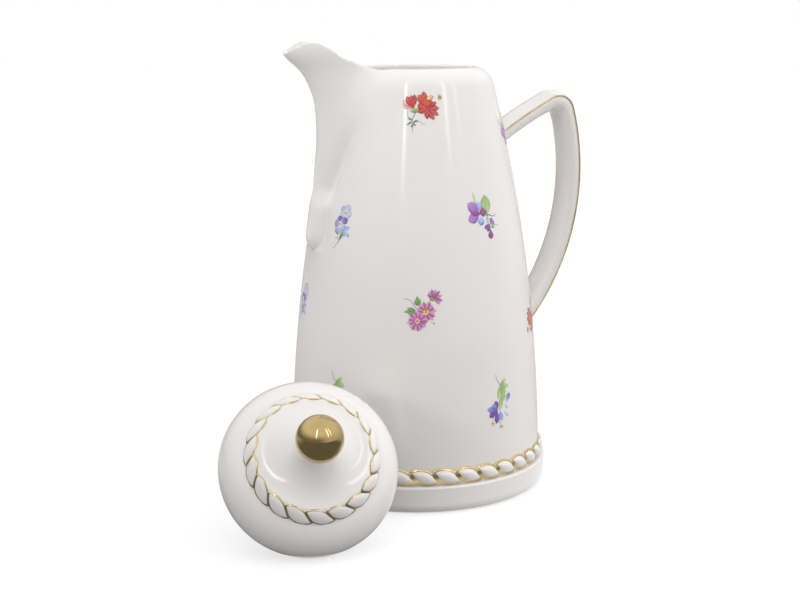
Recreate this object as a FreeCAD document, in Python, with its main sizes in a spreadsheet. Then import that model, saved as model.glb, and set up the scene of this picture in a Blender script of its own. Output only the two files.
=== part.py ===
"""A tall porcelain coffee pot with a pouring spout, a strap handle and a loose domed lid.

Millimetres. The origin is the middle of the foot, on the table. +Z is up, the spout points along -X and
the handle along +X. The lid is off the pot and lies on the table, on its brim and its flange.
"""
import FreeCAD
import Part
import Sketcher
import math
import os

from FreeCAD import Placement, Rotation, Vector

SIZES = [
    # pot wall
    ("rim_height", 220.0),
    ("base_radius", 66.6),
    ("belly_radius", 60.0),
    ("belly_height", 110.0),
    ("shoulder_radius", 40.6),
    ("shoulder_drop", 8.5),
    ("shoulder_bulge", 1.7),
    ("rim_land", 1.2),
    ("mouth_radius", 30.8),
    ("mouth_depth", 10.0),
    ("throat_drop", 9.0),
    ("wall", 4.0),
    ("floor_thickness", 5.0),
    ("cavity_round", 8.0),
    # foot ring
    ("plinth_radius", 69.8),
    ("plinth_height", 14.4),
    ("plinth_edge_round", 5.5),
    ("plinth_ledge_round", 1.2),
    ("foot_recess_radius", 58.0),
    # spout
    ("spout_wall", 3.6),
    ("spout_tip_reach", 72.2),
    ("spout_tip_rise", 7.4),
    ("spout_crest_reach", 59.8),
    ("spout_crest_rise", 13.4),
    ("spout_waist_reach", 54.8),
    ("spout_waist_drop", 30.0),
    ("spout_nose_drop", 86.0),
    ("spout_nose_stand", 5.4),
    ("spout_nose_length", 9.0),
    ("spout_nose_half_width", 9.0),
    ("spout_root_half_width", 27.0),
    ("spout_lip_flare", 0.4),
    ("spout_bury", 0.5),
    # handle
    ("handle_width", 19.0),
    ("handle_crown", 2.6),
    ("handle_thickness", 7.4),
    ("handle_side", 2.2),
    ("handle_root_height", 180.4),
    ("handle_root_reach", 39.5),
    ("handle_rise_angle", 30.9),
    ("handle_apex_radius", 8.8),
    ("handle_reach", 94.0),
    ("handle_reach_height", 162.6),
    ("handle_back_radius", 125.0),
    ("handle_foot_height", 78.0),
    # rope round the foot
    ("base_rope_height", 8.4),
    ("base_rope_stand", 2.6),
    ("base_rope_bed", 1.0),
    ("base_rope_lean", 29.0),
    ("base_strand_length", 14.4),
    ("base_strand_count", 36),
    ("strand_gap", 0.4),
    # lid
    ("lid_radius", 42.2),
    ("brim_round", 4.0),
    ("dome_shoulder_radius", 31.5),
    ("dome_shoulder_rise", 18.8),
    ("dome_shoulder_bulge", 4.8),
    ("dome_waist_radius", 26.9),
    ("dome_waist_rise", 24.9),
    ("dome_sweep", 1.6),
    ("lid_wall", 4.2),
    ("flange_clearance", 0.8),
    ("flange_depth", 14.7),
    ("flange_wall", 4.0),
    # rope round the lid
    ("lid_rope_stand", 1.5),
    ("lid_rope_bed", 0.5),
    ("lid_rope_lean", 32.0),
    ("lid_strand_length", 12.2),
    ("lid_strand_count", 18),
    # knob
    ("neck_foot_radius", 9.0),
    ("neck_foot_rise", 32.6),
    ("neck_radius", 6.0),
    ("collar_radius", 7.0),
    ("collar_height", 1.5),
    ("ball_radius", 11.0),
    ("ball_seat", 9.4),
    ("ball_rise", 46.5),
    # where the lid lies
    ("lid_rest_x", -89.6),
    ("lid_rest_y", -76.1),
    ("lid_rest_turn", 11.4),
]

doc = FreeCAD.newDocument("coffee_pot")
sheet = doc.addObject("Spreadsheet::Sheet", "Sizes")
for row, (alias, number) in enumerate(SIZES, start=1):
    sheet.set("A%d" % row, alias)
    sheet.set("B%d" % row, str(number))
    sheet.setAlias("B%d" % row, alias)
doc.recompute()


def size(alias):
    """The number in one cell of the sheet."""
    return float(sheet.get(alias))


def read_sum(text):
    """The value and the bound expression of a sum such as 'rim_height - 0.5*wall'."""
    value = 0.0
    sign = 1.0
    bound = []
    for word in text.split():
        if word in "+-":
            sign = 1.0 if word == "+" else -1.0
            bound.append(word)
            continue
        factor, star, alias = word.rpartition("*")
        share = float(factor) if star else 1.0
        value += sign * share * size(alias)
        bound.append("%sSizes.%s" % (factor + star, alias))
        sign = 1.0
    return value, " ".join(bound)


def origin_plane(body, role):
    """One of a body's own origin planes."""
    return next(plane for plane in body.Origin.OriginFeatures if plane.Role == role)


def pin(sketch, geometry, end, x_text, y_text):
    """Fix one sketch point by two sums of sizes; an empty sum puts it on the axis."""
    for kind, text, axis in (("DistanceX", x_text, -2), ("DistanceY", y_text, -1)):
        if not text:
            sketch.addConstraint(Sketcher.Constraint("PointOnObject", geometry, end, axis))
            continue
        value, bound = read_sum(text)
        index = sketch.addConstraint(Sketcher.Constraint(kind, -1, 1, geometry, end, value))
        sketch.setExpression("Constraints[%d]" % index, bound)


def corner_vector(x_text, y_text):
    """A sketch point, from two sums of sizes."""
    x = read_sum(x_text)[0] if x_text else 0.0
    y = read_sum(y_text)[0] if y_text else 0.0
    return Vector(x, y, 0)


def draw_outline(sketch, corners):
    """A closed outline of lines and arcs. A corner with four sums starts an arc through its second point."""
    ends = []
    for number, corner in enumerate(corners):
        start = corner_vector(*corner[:2])
        stop = corner_vector(*corners[(number + 1) % len(corners)][:2])
        if len(corner) == 2:
            index = sketch.addGeometry(Part.LineSegment(start, stop), False)
        else:
            index = sketch.addGeometry(Part.Arc(start, corner_vector(*corner[2:]), stop), False)
        forward = sketch.getPoint(index, 1).distanceToPoint(start) < 1e-6
        ends.append((index, 1, 2) if forward else (index, 2, 1))
    for number, corner in enumerate(corners):
        index, first, last = ends[number]
        following, start_of_next = ends[(number + 1) % len(ends)][:2]
        sketch.addConstraint(Sketcher.Constraint("Coincident", index, last, following, start_of_next))
        pin(sketch, index, first, *corner[:2])
        if len(corner) == 4:
            through = sketch.addGeometry(Part.Point(corner_vector(*corner[2:])), True)
            pin(sketch, through, 1, *corner[2:])
            sketch.addConstraint(Sketcher.Constraint("PointOnObject", through, 1, index))


def turned_body(name, corners):
    """A body turned about Z from an outline of radius and height."""
    body = doc.addObject("PartDesign::Body", name)
    sketch = body.newObject("Sketcher::SketchObject", name + "_outline")
    sketch.AttachmentSupport = (origin_plane(body, "XZ_Plane"), [""])
    sketch.MapMode = "FlatFace"
    draw_outline(sketch, corners)
    turn = body.newObject("PartDesign::Revolution", name + "_turn")
    turn.Profile = sketch
    turn.ReferenceAxis = (sketch, ["V_Axis"])
    turn.Angle = 360.0
    return body


def cut(name, base, tool):
    """One object with another cut away."""
    result = doc.addObject("Part::Cut", name)
    result.Base = base
    result.Tool = tool
    return result


def feature(name, shape, placement=None):
    """A plain object that holds a shape."""
    result = doc.addObject("Part::Feature", name)
    result.Shape = shape
    if placement is not None:
        result.Placement = placement
    return result


# The outline of the outside, from the foot ring up to the rim. The belly is one long arc.
OUTER_WALL = [
    ("base_radius", "plinth_height", "belly_radius", "belly_height"),
    ("shoulder_radius", "rim_height - shoulder_drop",
     "0.5*shoulder_radius + 0.5*mouth_radius + 0.5*rim_land + 0.7*shoulder_bulge",
     "rim_height - 0.5*shoulder_drop + 0.7*shoulder_bulge"),
    ("mouth_radius + rim_land", "rim_height"),
]

INNER_WALL = [
    ("mouth_radius", "rim_height"),
    ("mouth_radius", "rim_height - mouth_depth"),
    ("shoulder_radius - 0.5*wall", "rim_height - mouth_depth - throat_drop",
     "belly_radius - wall", "belly_height"),
    ("base_radius - wall", "plinth_height + floor_thickness + cavity_round",
     "base_radius - wall - 0.293*cavity_round", "plinth_height + floor_thickness + 0.293*cavity_round"),
    ("base_radius - wall - cavity_round", "plinth_height + floor_thickness"),
    ("", "plinth_height + floor_thickness"),
]

pot_outside = turned_body("pot_outside", [("", "plinth_height")] + OUTER_WALL + [("", "rim_height")])
pot_blank = turned_body("pot_blank", [("", "plinth_height")] + OUTER_WALL + INNER_WALL)

foot_plinth = turned_body("foot_plinth", [
    ("foot_recess_radius", ""),
    ("plinth_radius - plinth_edge_round", "",
     "plinth_radius - 0.293*plinth_edge_round", "0.293*plinth_edge_round"),
    ("plinth_radius", "plinth_edge_round"),
    ("plinth_radius", "plinth_height - plinth_ledge_round",
     "plinth_radius - 0.293*plinth_ledge_round", "plinth_height - 0.293*plinth_ledge_round"),
    ("plinth_radius - plinth_ledge_round", "plinth_height"),
    ("foot_recess_radius", "plinth_height"),
])
doc.recompute()

# The spout is a beak pulled out of the wall. Each level is the wall's circle with a smooth bump on it.
RIM = size("rim_height")
BELLY = Part.Arc(
    Vector(size("base_radius"), size("plinth_height"), 0),
    Vector(size("belly_radius"), size("belly_height"), 0),
    Vector(size("shoulder_radius"), RIM - size("shoulder_drop"), 0),
).toShape().Curve
SPOUT_LEVELS = 9
BUMP_POINTS = 19


def wall_radius(height):
    """The outside radius of the belly's arc, carried on above the shoulder."""
    return BELLY.Center.x + math.sqrt(BELLY.Radius ** 2 - (height - BELLY.Center.y) ** 2)


def keel_points():
    """The lowest line of the beak in side view: nose, waist and tip, as reach and height."""
    nose = RIM - size("spout_nose_drop")
    waist = RIM - size("spout_waist_drop")
    tip = RIM + size("spout_tip_rise")
    middle = 0.5 * (nose + waist)
    throat = waist + 0.5 * (tip - waist)
    throat_reach = size("spout_waist_reach") + 0.19 * (size("spout_tip_reach") - size("spout_waist_reach"))
    return [
        (wall_radius(nose) + size("spout_nose_stand"), nose),
        (wall_radius(middle) + size("spout_nose_stand") + 0.4, middle),
        (size("spout_waist_reach"), waist),
        (throat_reach, throat),
        (size("spout_tip_reach"), tip),
    ]


def beak_levels():
    """Reach, height and half width of the beak at each level, from under the nose to above the crest."""
    curve = Part.BSplineCurve()
    curve.interpolate([Vector(reach, height, 0) for reach, height in keel_points()])
    nose_height = RIM - size("spout_nose_drop")
    tip_height = RIM + size("spout_tip_rise")
    under = nose_height - size("spout_nose_length")
    levels = [(wall_radius(under) - size("spout_bury"), under, 0.35 * size("spout_nose_half_width"))]
    for number in range(SPOUT_LEVELS):
        point = curve.value(curve.FirstParameter + (curve.LastParameter - curve.FirstParameter)
                            * number / (SPOUT_LEVELS - 1))
        share = (point.y - nose_height) / (tip_height - nose_height)
        width = size("spout_nose_half_width")
        width += (size("spout_root_half_width") - size("spout_nose_half_width")) * share ** 1.3
        levels.append((point.x, point.y, width))
    above = tip_height + 2.0 * (size("spout_crest_rise") - size("spout_tip_rise"))
    levels.append((levels[-1][0] + size("spout_lip_flare"), above, levels[-1][2]))
    return levels


def bump(share_of_width, height):
    """Height of the bump, 1 on the keel and 0 at the edge: round at the nose, pointed at the lip."""
    nose_height = RIM - size("spout_nose_drop")
    rise = min(1.0, max(0.0, (height - nose_height) / (RIM - nose_height)))
    roundness = 0.9 - 0.8 * rise
    power = 1.8 + 3.0 * rise ** 2
    along = (math.hypot(share_of_width, roundness) - roundness) / (math.hypot(1.0, roundness) - roundness)
    return max(0.0, 1.0 - along) ** power


def beak_section(reach, height, half_width, inset, depth):
    """One level of the beak: a bump along an arc of the wall, closed by straight lines at a depth."""
    foot = wall_radius(height) - size("spout_bury") - inset
    spread = math.asin(half_width / wall_radius(height)) - inset / wall_radius(height)
    points = []
    for number in range(BUMP_POINTS):
        share = 2.0 * number / (BUMP_POINTS - 1) - 1.0
        radius = foot + (reach - inset - foot) * bump(share, height)
        points.append(Vector(-radius * math.cos(share * spread), -radius * math.sin(share * spread), height))
    curve = Part.BSplineCurve()
    curve.interpolate(points)
    back = [Vector(-depth, points[-1].y, height), Vector(-depth, points[0].y, height)]
    return Part.Wire([
        curve.toShape(),
        Part.makeLine(points[-1], back[0]),
        Part.makeLine(back[0], back[1]),
        Part.makeLine(back[1], points[0]),
    ])


def beak(inset, depth, first_level):
    """The whole beak, or with an inset its hollow, as a loft through its levels."""
    levels = beak_levels()[first_level:]
    return Part.makeLoft([beak_section(*level, inset, depth) for level in levels], True, False)


def lip_cutter():
    """Everything above the lip: a curve from the mouth over the crest down to the tip, drawn across."""
    tip = RIM + size("spout_tip_rise")
    crest = RIM + size("spout_crest_rise")
    tip_reach = size("spout_tip_reach")
    crest_reach = size("spout_crest_reach")
    shoulder = size("shoulder_radius")
    saddle_reach = crest_reach - 0.45 * (crest_reach - shoulder)
    points = [
        Vector(-(tip_reach + 6.0), 0, tip - 8.0),
        Vector(-tip_reach, 0, tip),
        Vector(-0.5 * (tip_reach + crest_reach), 0, tip + 0.66 * (crest - tip)),
        Vector(-crest_reach, 0, crest),
        Vector(-saddle_reach, 0, RIM + 0.74 * (crest - RIM)),
        Vector(-shoulder, 0, RIM + 0.06 * (crest - RIM)),
        Vector(-size("mouth_radius"), 0, RIM - 0.05 * (crest - RIM)),
    ]
    curve = Part.BSplineCurve()
    curve.interpolate(points)
    top = RIM + 6.0 * size("spout_crest_rise")
    loop = [points[-1], Vector(0, 0, points[-1].z), Vector(0, 0, top), Vector(-3.0 * tip_reach, 0, top),
            Vector(-3.0 * tip_reach, 0, points[0].z), points[0]]
    sides = [Part.makeLine(loop[i], loop[i + 1]) for i in range(len(loop) - 1)]
    face = Part.Face(Part.Wire([curve.toShape()] + sides))
    half = 2.0 * size("spout_root_half_width")
    face.translate(Vector(0, -half, 0))
    return face.extrude(Vector(0, 2.0 * half, 0))


spout_mass = feature("spout_mass", beak(0.0, 0.5 * size("mouth_radius"), 0))
spout_hollow = feature("spout_hollow", beak(size("spout_wall"), 0.4 * size("mouth_radius"), 1))
spout_lip = feature("spout_lip", lip_cutter())
pot_body = cut("pot_body", pot_blank, spout_hollow)
spout_trimmed = cut("spout_trimmed", spout_mass, spout_lip)
spout_opened = cut("spout_opened", spout_trimmed, spout_hollow)
spout = cut("spout", spout_opened, pot_outside)

# The handle is a strap swept up from the shoulder, round a tight apex and down a long arc to the wall.


def handle_route():
    """Corner points and centres of the strap's outer face in side view: line, apex arc and back arc."""
    rise = math.radians(size("handle_rise_angle"))
    start = Vector(size("handle_root_reach"), size("handle_root_height"), 0)
    along = Vector(math.cos(rise), math.sin(rise), 0)
    inward = Vector(math.sin(rise), -math.cos(rise), 0)
    apex = size("handle_apex_radius")
    back = size("handle_back_radius")
    back_centre = Vector(size("handle_reach") - back, size("handle_reach_height"), 0)
    offset = start + inward * apex - back_centre
    half_b = offset.dot(along)
    run = -half_b + math.sqrt(half_b ** 2 - offset.dot(offset) + (back - apex) ** 2)
    apex_start = start + along * run
    apex_centre = apex_start + inward * apex
    outward = (apex_centre - back_centre).normalize()
    apex_stop = back_centre + outward * back
    drop = size("handle_foot_height") - back_centre.y
    stop = back_centre + Vector(math.sqrt(back ** 2 - drop ** 2), drop, 0)
    middle = (outward + (inward * -1.0)).normalize()
    return start, apex_start, apex_centre + middle * apex, apex_stop, back_centre + Vector(back, 0, 0), stop


handle_blank = doc.addObject("PartDesign::Body", "handle_blank")
route = handle_blank.newObject("Sketcher::SketchObject", "handle_route")
route.AttachmentSupport = (origin_plane(handle_blank, "XZ_Plane"), [""])
route.MapMode = "FlatFace"
route_start, route_bend, route_top, route_turn, route_far, route_stop = handle_route()
rise_line = route.addGeometry(Part.LineSegment(route_start, route_bend), False)
apex_arc = route.addGeometry(Part.Arc(route_bend, route_top, route_turn), False)
back_arc = route.addGeometry(Part.Arc(route_turn, route_far, route_stop), False)
pin(route, rise_line, 1, "handle_root_reach", "handle_root_height")
pin(route, back_arc, 3, "handle_reach - handle_back_radius", "handle_reach_height")
for constraint, alias in (
    (Sketcher.Constraint("Angle", rise_line, math.radians(size("handle_rise_angle"))), "handle_rise_angle"),
    (Sketcher.Constraint("Radius", apex_arc, size("handle_apex_radius")), "handle_apex_radius"),
    (Sketcher.Constraint("Radius", back_arc, size("handle_back_radius")), "handle_back_radius"),
    (Sketcher.Constraint("DistanceY", -1, 1, back_arc, 1, size("handle_foot_height")), "handle_foot_height"),
):
    number = route.addConstraint(constraint)
    unit = " * 1 deg" if alias.endswith("angle") else ""
    route.setExpression("Constraints[%d]" % number, "Sizes.%s%s" % (alias, unit))
route.addConstraint(Sketcher.Constraint("Tangent", rise_line, 2, apex_arc, 2))
route.addConstraint(Sketcher.Constraint("Tangent", apex_arc, 1, back_arc, 2))

strap = handle_blank.newObject("Sketcher::SketchObject", "handle_section")
rise_angle = math.radians(size("handle_rise_angle"))
strap_axes = FreeCAD.Matrix(
    0, -math.sin(rise_angle), math.cos(rise_angle), size("handle_root_reach"),
    1, 0, 0, 0,
    0, math.cos(rise_angle), math.sin(rise_angle), size("handle_root_height"),
    0, 0, 0, 1)
strap.Placement = Placement(strap_axes)
draw_outline(strap, [
    ("-0.5*handle_width", "", "", "handle_crown"),
    ("0.5*handle_width", ""),
    ("0.5*handle_width", "-1*handle_side", "", "-1*handle_thickness"),
    ("-0.5*handle_width", "-1*handle_side"),
])
sweep = handle_blank.newObject("PartDesign::AdditivePipe", "handle_sweep")
sweep.Profile = strap
sweep.Spine = (route, ["Edge1", "Edge2", "Edge3"])
doc.recompute()
handle = cut("handle", handle_blank, pot_outside)

# Rope mouldings: leaf-shaped strands that lean the same way, in a gold bed.


def strand(length, half_width, stand, lean):
    """One strand lying along X, swelling along Z, turned by its lean."""
    ball = Part.makeSphere(1.0)
    stretch = FreeCAD.Matrix()
    stretch.scale(length / 2, half_width, stand)
    leaf = ball.transformGeometry(stretch)
    leaf.rotate(Vector(0, 0, 0), Vector(0, 0, 1), -lean)
    return leaf


def strand_half_width(radius, count, lean):
    """Half of the room between two neighbouring strands, less the gap that the gold fills."""
    pitch = 2.0 * math.pi * radius / count
    return (pitch * math.sin(math.radians(lean)) - size("strand_gap")) / 2


def ring_of(shape, count):
    """A shape repeated round Z."""
    copies = []
    for number in range(count):
        copy = shape.copy()
        copy.rotate(Vector(0, 0, 0), Vector(0, 0, 1), 360.0 * number / count)
        copies.append(copy)
    return copies


def gold_ring(ring, leaf, count):
    """The ring between the strands, as one sector per strand."""
    reach = 2.0 * ring.BoundBox.XMax
    half_step = math.pi / count
    corners = [Vector(0, 0, 0)]
    for side in (-1, 1):
        corners.append(Vector(side * reach * math.sin(half_step), -reach * math.cos(half_step), 0))
    wedge = Part.Face(Part.makePolygon(corners + corners[:1])).extrude(Vector(0, 0, reach))
    sector = ring.common(wedge)
    neighbours = range(-2, 3)
    for number in neighbours:
        turned = leaf.copy()
        turned.rotate(Vector(0, 0, 0), Vector(0, 0, 1), 360.0 * number / count)
        sector = sector.cut(turned)
    return Part.makeCompound(ring_of(sector, count))


base_count = int(size("base_strand_count"))
base_middle = size("plinth_height") + size("base_rope_height") / 2
base_lean = size("base_rope_lean")
base_half_width = strand_half_width(wall_radius(base_middle), base_count, base_lean)
base_leaf = strand(size("base_strand_length"), base_half_width, size("base_rope_stand"), base_lean)
base_leaf.Placement = Placement(
    Vector(0, -wall_radius(base_middle), base_middle),
    Rotation(Vector(1, 0, 0), Vector(0, 0, 1), Vector(0, -1, 0), "ZXY")).multiply(base_leaf.Placement)
doc.recompute()
base_strand = base_leaf.cut(pot_outside.Shape).cut(foot_plinth.Shape)
base_rope = feature("base_rope", Part.makeCompound(ring_of(base_strand, base_count)))

base_bed = turned_body("base_bed", [
    ("base_radius - 2*base_rope_bed", "plinth_height"),
    ("base_radius + base_rope_stand - 0.3*base_rope_bed", "plinth_height",
     "base_radius + 0.7*base_rope_bed", "plinth_height + 0.5*base_rope_height"),
    ("base_radius - 0.1*base_rope_bed", "plinth_height + base_rope_height"),
    ("base_radius - 2*base_rope_bed", "plinth_height + base_rope_height"),
])
doc.recompute()
base_ring = base_bed.Shape.cut(pot_outside.Shape)
base_rope_gilding = feature("base_rope_gilding", gold_ring(base_ring, base_strand, base_count))

# The lid, in its own frame: radius and height from the plane where its brim is widest.
lid_dome = turned_body("lid_dome", [
    ("mouth_radius - flange_clearance - flange_wall", "-1*brim_round"),
    ("lid_radius - brim_round", "-1*brim_round", "lid_radius - 0.293*brim_round", "-0.707*brim_round"),
    ("lid_radius", "", "0.5*lid_radius + 0.5*dome_shoulder_radius + 0.75*dome_shoulder_bulge",
     "0.5*dome_shoulder_rise + 0.45*dome_shoulder_bulge"),
    ("dome_shoulder_radius", "dome_shoulder_rise"),
    ("dome_waist_radius", "dome_waist_rise",
     "0.5*dome_waist_radius + 0.5*neck_foot_radius - 0.4*dome_sweep",
     "0.5*dome_waist_rise + 0.5*neck_foot_rise - 0.9*dome_sweep"),
    ("neck_foot_radius", "neck_foot_rise"),
    ("", "neck_foot_rise"),
    ("", "neck_foot_rise - 1.2*lid_wall"),
    ("neck_foot_radius", "neck_foot_rise - 1.3*lid_wall"),
    ("dome_waist_radius - 0.6*lid_wall", "dome_waist_rise - 0.9*lid_wall"),
    ("dome_shoulder_radius - 0.85*lid_wall", "dome_shoulder_rise - 0.6*lid_wall",
     "0.5*lid_radius + 0.5*dome_shoulder_radius + 0.75*dome_shoulder_bulge - lid_wall",
     "0.5*dome_shoulder_rise + 0.2*dome_shoulder_bulge"),
    ("lid_radius - 1.2*lid_wall", "lid_wall - brim_round"),
    ("mouth_radius - flange_clearance - flange_wall", "lid_wall - brim_round"),
])
lid_flange = turned_body("lid_flange", [
    ("mouth_radius - flange_clearance - flange_wall", "-1*brim_round - flange_depth"),
    ("mouth_radius - flange_clearance", "-1*brim_round - flange_depth"),
    ("mouth_radius - flange_clearance", "-1*brim_round"),
    ("mouth_radius - flange_clearance - flange_wall", "-1*brim_round"),
])
knob_neck = turned_body("knob_neck", [
    ("", "neck_foot_rise"),
    ("neck_foot_radius", "neck_foot_rise", "0.4*neck_foot_radius + 0.6*neck_radius",
     "0.6*neck_foot_rise + 0.4*ball_rise - 0.4*ball_seat - 0.4*collar_height"),
    ("neck_radius", "ball_rise - ball_seat - collar_height"),
    ("", "ball_rise - ball_seat - collar_height"),
])
knob_collar = turned_body("knob_collar", [
    ("", "ball_rise - ball_seat - collar_height"),
    ("collar_radius - 0.5*collar_height", "ball_rise - ball_seat - collar_height",
     "collar_radius", "ball_rise - ball_seat - 0.5*collar_height"),
    ("collar_radius - 0.5*collar_height", "ball_rise - ball_seat"),
    ("", "ball_rise - ball_seat"),
])
knob_ball = doc.addObject("Part::Sphere", "knob_ball")
knob_ball.setExpression("Radius", "Sizes.ball_radius")
knob_ball.setExpression("Angle1", "-asin(Sizes.ball_seat / Sizes.ball_radius)")

lid_bed = turned_body("lid_bed", [
    ("dome_shoulder_radius", "dome_shoulder_rise"),
    ("dome_shoulder_radius + 0.8*lid_rope_bed", "dome_shoulder_rise + 0.6*lid_rope_bed"),
    ("dome_waist_radius + 0.8*lid_rope_bed", "dome_waist_rise + 0.6*lid_rope_bed"),
    ("dome_waist_radius", "dome_waist_rise"),
])
doc.recompute()

lid_count = int(size("lid_strand_count"))
band_low = Vector(0, -size("dome_shoulder_radius"), size("dome_shoulder_rise"))
band_high = Vector(0, -size("dome_waist_radius"), size("dome_waist_rise"))
band_middle = (band_low + band_high) * 0.5
band_up = (band_high - band_low).normalize()
band_out = Vector(1, 0, 0).cross(band_up)
lid_lean = size("lid_rope_lean")
lid_half_width = strand_half_width(-band_middle.y, lid_count, lid_lean)
lid_leaf = strand(size("lid_strand_length"), lid_half_width, size("lid_rope_stand"), lid_lean)
lid_leaf.Placement = Placement(
    band_middle, Rotation(Vector(1, 0, 0), band_up, band_out, "ZXY")).multiply(lid_leaf.Placement)
lid_strand = lid_leaf.cut(lid_dome.Shape)
lid_rope = feature("lid_rope", Part.makeCompound(ring_of(lid_strand, lid_count)))
lid_rope_gilding = feature("lid_rope_gilding", gold_ring(lid_bed.Shape, lid_strand, lid_count))
doc.recompute()


def lid_place():
    """Where the lid lies on the table: it rests on the round of its brim and on the edge of its flange."""
    reach_back = size("brim_round") + size("flange_depth")
    reach_out = size("lid_radius") - size("brim_round") - size("mouth_radius") + size("flange_clearance")
    lean = math.atan2(reach_out, reach_back)
    lean += math.asin(size("brim_round") / math.hypot(reach_out, reach_back))
    turn = math.radians(size("lid_rest_turn"))
    axis = Vector(-math.sin(turn) * math.cos(lean), -math.cos(turn) * math.cos(lean), math.sin(lean))
    side = Vector(math.cos(turn), -math.sin(turn), 0)
    height = (size("lid_radius") - size("brim_round")) * math.cos(lean) + size("brim_round")
    return Placement(Vector(size("lid_rest_x"), size("lid_rest_y"), height),
                     Rotation(side, axis.cross(side), axis, "ZXY"))


resting = lid_place()
for piece in (lid_dome, lid_flange, knob_neck, knob_collar, lid_rope, lid_rope_gilding):
    piece.Placement = resting.multiply(piece.Placement)
knob_ball.Placement = resting.multiply(Placement(Vector(0, 0, size("ball_rise")), Rotation()))
doc.recompute()

NODES = [pot_body, foot_plinth, spout, handle, base_rope, base_rope_gilding, lid_dome, lid_flange,
         lid_rope, lid_rope_gilding, knob_neck, knob_collar, knob_ball]


def check_document():
    """Stop if any object failed or any piece is not a sound solid."""
    for item in doc.Objects:
        if "Invalid" in item.State or "Error" in item.State:
            raise RuntimeError("%s failed: %s" % (item.Name, item.State))
    for node in NODES:
        node.Label = node.Name
        if node.Shape.isNull() or not node.Shape.isValid() or not node.Shape.Solids:
            raise RuntimeError("%s is not a sound solid" % node.Label)


check_document()
os.makedirs("parts", exist_ok=True)
for node in NODES:
    node.Shape.exportStep("parts/%s.step" % node.Label)
    box = node.Shape.BoundBox
    print("%-18s solids %3d  volume %9.1f  z %7.1f to %6.1f" % (
        node.Label, len(node.Shape.Solids), node.Shape.Volume, box.ZMin, box.ZMax))
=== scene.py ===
"""The looks of a porcelain coffee pot: glazed shells, gilded ropes, painted flower sprays and a white studio.

Lengths are millimetres until a mesh is made. The pot stands on the origin, the spout points along -X and the
handle along +X. A bearing goes round the pot from the spout, to the right as seen from outside.
"""
from math import asin, atan2, cos, degrees, hypot, pi, radians, remainder, sin, sqrt, tau

import bmesh
import bpy
import numpy as np
from mathutils import Matrix, Vector


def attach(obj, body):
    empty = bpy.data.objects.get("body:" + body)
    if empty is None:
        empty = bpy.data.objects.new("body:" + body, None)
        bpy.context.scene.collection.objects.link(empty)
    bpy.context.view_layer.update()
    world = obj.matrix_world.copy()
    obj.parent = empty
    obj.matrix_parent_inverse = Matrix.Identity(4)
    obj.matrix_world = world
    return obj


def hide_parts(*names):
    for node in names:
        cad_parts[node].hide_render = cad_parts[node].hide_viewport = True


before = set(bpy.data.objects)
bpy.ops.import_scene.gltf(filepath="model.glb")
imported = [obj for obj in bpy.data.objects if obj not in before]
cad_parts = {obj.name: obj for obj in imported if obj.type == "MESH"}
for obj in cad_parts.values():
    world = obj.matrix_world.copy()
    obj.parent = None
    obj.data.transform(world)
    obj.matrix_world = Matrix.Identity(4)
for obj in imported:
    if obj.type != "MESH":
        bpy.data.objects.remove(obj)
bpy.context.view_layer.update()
MM = 0.001

# Pot wall
RIM = 220.0
PLINTH_HEIGHT = 14.4
BASE = (66.6, PLINTH_HEIGHT)
BELLY = (60.0, 110.0)
SHOULDER = (40.6, 211.5)
SHOULDER_TOP = (37.49, 216.94)
RIM_EDGE = (32.0, RIM)
MOUTH_RADIUS = 30.8
MOUTH_DEPTH = 10.0
THROAT_LOW = 201.0
WALL = 4.0
FLOOR = 19.4
CAVITY_ROUND = 8.0
FOOT_RECESS = 58.0
PLINTH_RADIUS = 69.78
PLINTH_EDGE = 5.5
PLINTH_LEDGE = 1.2
FOOT_EDGE = 1.2
RIM_EDGE_ROUND = 1.2
WEAR_RING = (59.4, 63.88)
WEAR_HEIGHTS = (0.02, 0.25)

# Grid of the pot's shell: rows of the wall, from, to and how many, closer together round the nose
WALL_ROWS = ((PLINTH_HEIGHT, 119.0, 34), (121.0, 139.0, 28), (141.0, 194.0, 27))
RIM_ROWS_START = 196.0
SPOUT_SPREAD = radians(50.0)
SPOUT_COLUMNS = 70
SPOUT_COLUMN_GATHER = 1.7
PLAIN_COLUMNS = 112
SPOUT_BLEND = (radians(47.0), radians(25.0))

# Spout: keel above the waist and lip as reach and height, root as height and half of its width
NOSE = 137.0
NOSE_LENGTH = 9.0
NOSE_STAND = 5.4
MIDDLE_STAND = 5.8
WAIST = (54.8, 190.0)
TIP = (72.2, 227.4)
CREST = (59.8, 233.4)
KEEL = (WAIST, (57.606, 208.7), (63.106, 218.5), TIP, (72.5, 236.4))
LIP = ((24.8, 219.2), (30.8, 219.4), (33.4, 220.938), (36.0, 222.211), (40.6, 224.288), (44.8, 225.494),
       (48.2, 228.308), (51.2, 230.318), CREST, (66.0, 231.36), TIP, (78.2, 219.4))
ROOT = ((NOSE, 8.265), (144.2, 8.7), (160.4, 8.352), (174.1, 12.543), (WAIST[1], 18.216), (208.7, 24.255),
        (TIP[1], 27.0))
LIP_THINNING = 1.7
CREASE = 2.8
CREASE_WIDTH = 6.2
LIP_ROUND = 0.9
LIP_THINNING_START = RIM - 15.0
NOSE_END = 0.12
NOSE_CREASE = 0.4
NOSE_CREASE_TOP = (NOSE + 14.0, NOSE + 4.0)
CREASE_TOP = (RIM - 14.0, RIM - 46.0)
CREASE_FOOT = (NOSE + 13.0, NOSE + 24.0)
CHANNEL_NARROWING = 0.6
BEAK_RISE_LIMIT = 1.16
BEAK_RISE_EASE = (0.85, 1.61)
BEAK_ROUNDNESS = (0.9, 0.8)
BEAK_POWER = (1.4, 3.4)

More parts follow.
